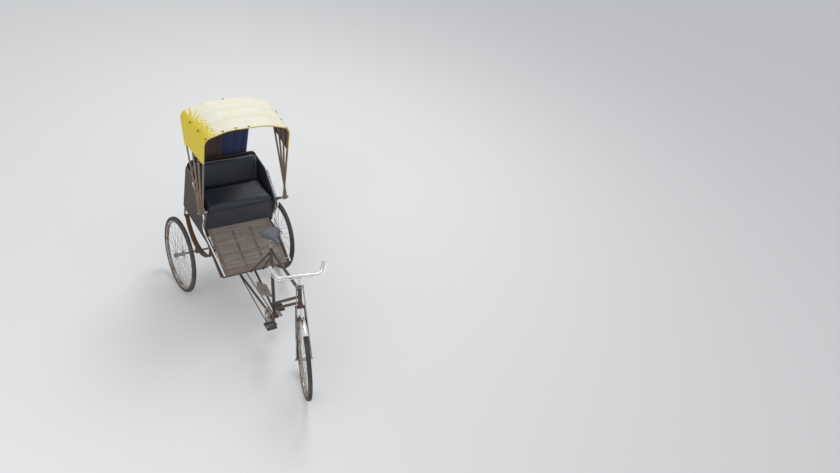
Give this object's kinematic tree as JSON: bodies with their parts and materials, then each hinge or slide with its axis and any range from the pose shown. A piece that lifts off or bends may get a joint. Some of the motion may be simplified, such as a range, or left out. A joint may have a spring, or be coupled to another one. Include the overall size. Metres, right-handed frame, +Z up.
{
  "type": "cycle rickshaw",
  "caption": "Pedal-driven three-wheeled passenger rickshaw with a bicycle front, chain drive, sprung rear box, padded seat and folding hood.",
  "frame": {"origin": "centre of the box on the floor", "axes": "-Y is forward, +X is the rickshaw's left, +Z is up"},
  "size_m": [1.09, 2.2833, 1.7465],
  "materials": {
    "frame_paint": "worn dark brown gloss with rust",
    "tube_steel": "dull worn steel",
    "chrome_trim": "polished with wear",
    "spring_steel": "dark greasy steel with rust",
    "tyre_rubber": "dusty matte",
    "wood_planks": "weathered grey-brown boards",
    "wood_frame": "dark oiled timber",
    "batten_metal": "worn bright strips",
    "seat_vinyl": "smooth dark vinyl",
    "saddle_cover": "smooth worn grey-blue",
    "grip_plastic": "pale worn",
    "pedal_rubber": "matte",
    "hood_sheet": "yellow plastic tarpaulin",
    "hood_slat": "light brown weathered slats",
    "curtain_blue": "navy cloth",
    "curtain_maroon": "maroon-brown cloth"
  },
  "bodies": {
    "carriage": {"bike_frame": "frame_paint", "frame_struts": "frame_paint", "lower_stays": "frame_paint", "chassis_frame": "frame_paint", "axle_blocks": "spring_steel", "leaf_spring_left": "spring_steel", "leaf_spring_right": "spring_steel", "spring_hangers": "spring_steel", "seat_post": "chrome_trim", "saddle": "saddle_cover", "chain": "spring_steel", "chain_cover": "tube_steel", "floor_planks": "wood_planks", "floor_border": "wood_planks", "floor_battens": "batten_metal", "rear_panel": "wood_frame", "box_floor": "wood_planks", "front_panel": "wood_frame", "seat_board": "wood_planks", "side_panel_left": "wood_frame", "side_panel_right": "wood_frame", "seat_cushion": "seat_vinyl", "seat_back": "seat_vinyl", "rail_left": "chrome_trim", "rail_right": "chrome_trim", "hood_bracket_left": "tube_steel", "hood_bracket_right": "tube_steel", "curtain_blue": "curtain_blue", "curtain_maroon": "curtain_maroon"},
    "steering": {"fork": "frame_paint", "front_axle": "tube_steel", "fork_stays": "chrome_trim", "stem": "chrome_trim", "handlebar": "chrome_trim", "grips": "grip_plastic", "brake_levers": "chrome_trim", "front_mudguard": "chrome_trim"},
    "front_wheel": {"front_tyre": "tyre_rubber", "front_rim": "chrome_trim", "front_hub_spokes": "tube_steel"},
    "drive_axle": {"rear_axle": "tube_steel", "rear_tyre_right": "tyre_rubber", "rear_rim_right": "chrome_trim", "rear_hub_spokes_right": "tube_steel"},
    "left_wheel": {"rear_tyre_left": "tyre_rubber", "rear_rim_left": "chrome_trim", "rear_hub_spokes_left": "tube_steel"},
    "crankset": {"cranks": "chrome_trim", "chainwheel": "chrome_trim"},
    "pedal_left": {"pedal_left": "pedal_rubber"},
    "pedal_right": {"pedal_right": "pedal_rubber"},
    "hood_rear": {"hood_bow_rear": "hood_slat", "hood_sheet": "hood_sheet"},
    "hood_third": {"hood_bow_third": "hood_slat"},
    "hood_second": {"hood_bow_second": "hood_slat"},
    "hood_front": {"hood_bow_front": "hood_slat"}
  },
  "joints": [
    {"name": "steer", "type": "hinge", "parent": "carriage", "child": "steering", "pos_m": [0, -0.59842, 0.75714], "axis": [0, 0.3746, 0.9272], "range_deg": [-30, 70]},
    {"name": "front_wheel_spin", "type": "hinge", "parent": "steering", "child": "front_wheel", "pos_m": [-0.01642, -0.81032, 0.3531], "axis": [0.9397, -0.3171, 0.1281], "continuous": true},
    {"name": "drive_axle_spin", "type": "hinge", "parent": "carriage", "child": "drive_axle", "pos_m": [0, 0.762, 0.355], "axis": [1, 0, 0], "continuous": true},
    {"name": "left_wheel_spin", "type": "hinge", "parent": "carriage", "child": "left_wheel", "pos_m": [0.4885, 0.762, 0.355], "axis": [1, 0, 0], "continuous": true},
    {"name": "crank_spin", "type": "hinge", "parent": "carriage", "child": "crankset", "pos_m": [0, -0.223, 0.3], "axis": [1, 0, 0], "continuous": true},
    {"name": "pedal_left_spin", "type": "hinge", "parent": "crankset", "child": "pedal_left", "pos_m": [0.1115, -0.07346, 0.23027], "axis": [1, 0, 0], "continuous": true},
    {"name": "pedal_right_spin", "type": "hinge", "parent": "crankset", "child": "pedal_right", "pos_m": [-0.1115, -0.37254, 0.36973], "axis": [1, 0, 0], "continuous": true},
    {"name": "hood_fold", "type": "hinge", "parent": "carriage", "child": "hood_rear", "pos_m": [0, 0.562, 0.97], "axis": [-1, 0, 0], "range_deg": [0, 55], "deforming": ["hood_sheet", "curtain_blue", "curtain_maroon"]},
    {"name": "hood_third_fold", "type": "hinge", "parent": "hood_rear", "child": "hood_third", "pos_m": [0, 0.562, 0.97], "axis": [-1, 0, 0], "range_deg": [0, 10]},
    {"name": "hood_second_fold", "type": "hinge", "parent": "hood_third", "child": "hood_second", "pos_m": [0, 0.562, 0.97], "axis": [-1, 0, 0], "range_deg": [0, 10]},
    {"name": "hood_front_fold", "type": "hinge", "parent": "hood_second", "child": "hood_front", "pos_m": [0, 0.562, 0.97], "axis": [-1, 0, 0], "range_deg": [0, 10]}
  ],
  "couplings": [
    {"joint": "hood_third_fold", "follows": "hood_fold", "ratio": 0.16},
    {"joint": "hood_second_fold", "follows": "hood_fold", "ratio": 0.17},
    {"joint": "hood_front_fold", "follows": "hood_fold", "ratio": 0.18}
  ]
}
